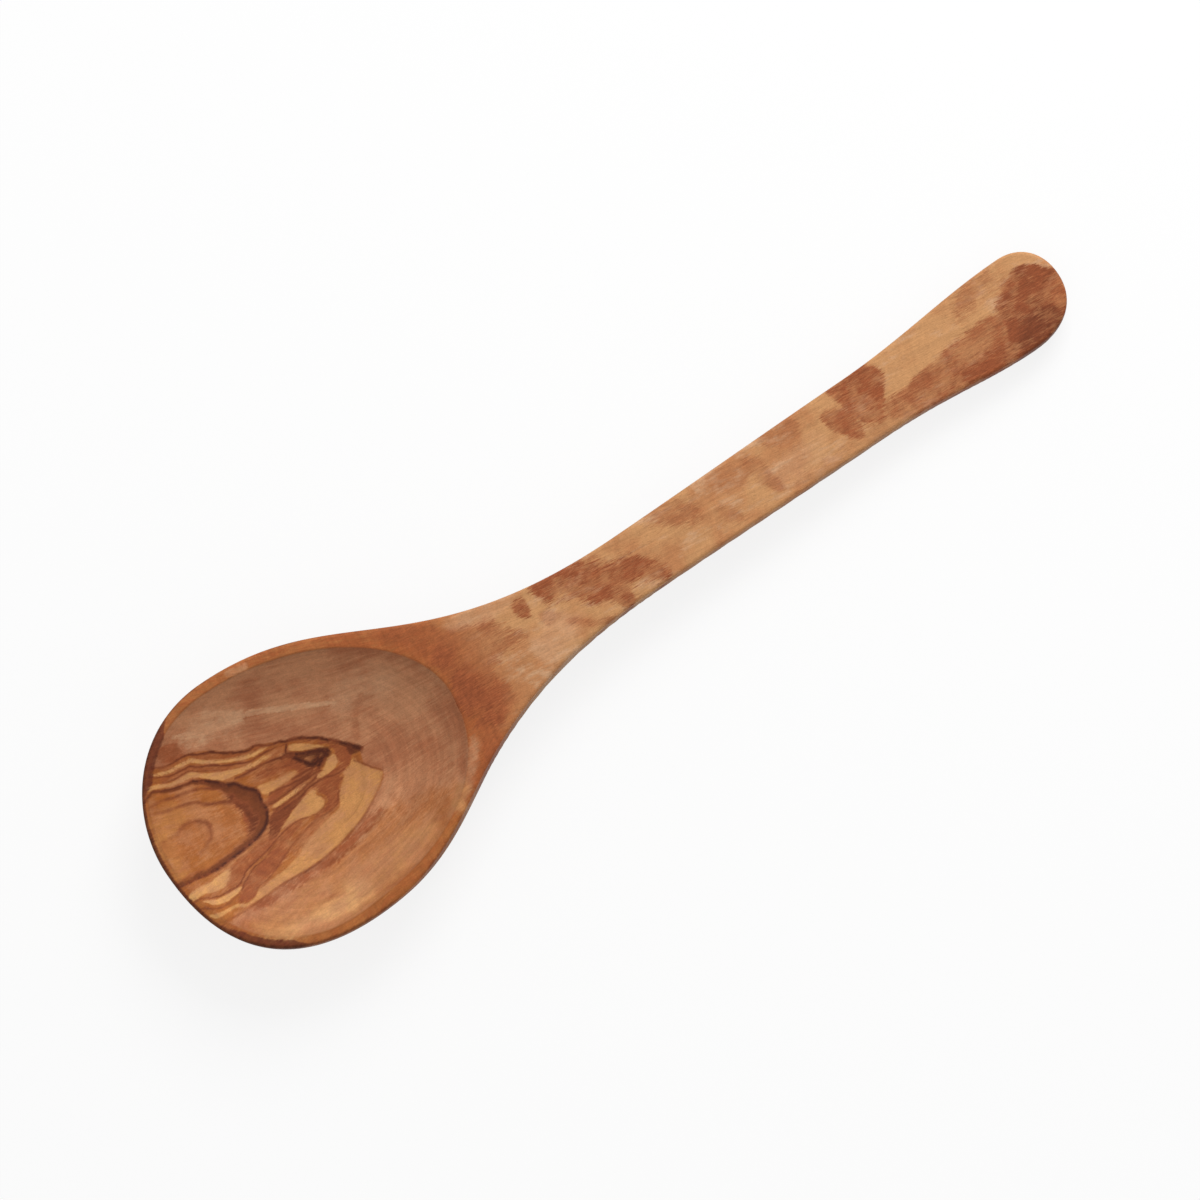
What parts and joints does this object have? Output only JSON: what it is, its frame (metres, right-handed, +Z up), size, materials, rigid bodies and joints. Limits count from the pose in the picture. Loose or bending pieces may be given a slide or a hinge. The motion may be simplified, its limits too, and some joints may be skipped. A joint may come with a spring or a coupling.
{
  "type": "wooden spoon",
  "caption": "Carved wooden cooking spoon with a deep egg-shaped bowl, a flat land round its rim, a narrow waist and a long handle that flares to a rounded end.",
  "frame": {"origin": "on the table, under the middle of the spoon's box, with the spoon lying on its belly and its handle's end", "axes": "+X from the bowl's tip to the handle's end, +Y across the spoon, +Z up out of the bowl"},
  "size_m": [0.305, 0.083, 0.024],
  "materials": {
    "olive_wood": "oiled, satin"
  },
  "bodies": {
    "root": {"spoon": "olive_wood"}
  },
  "joints": []
}
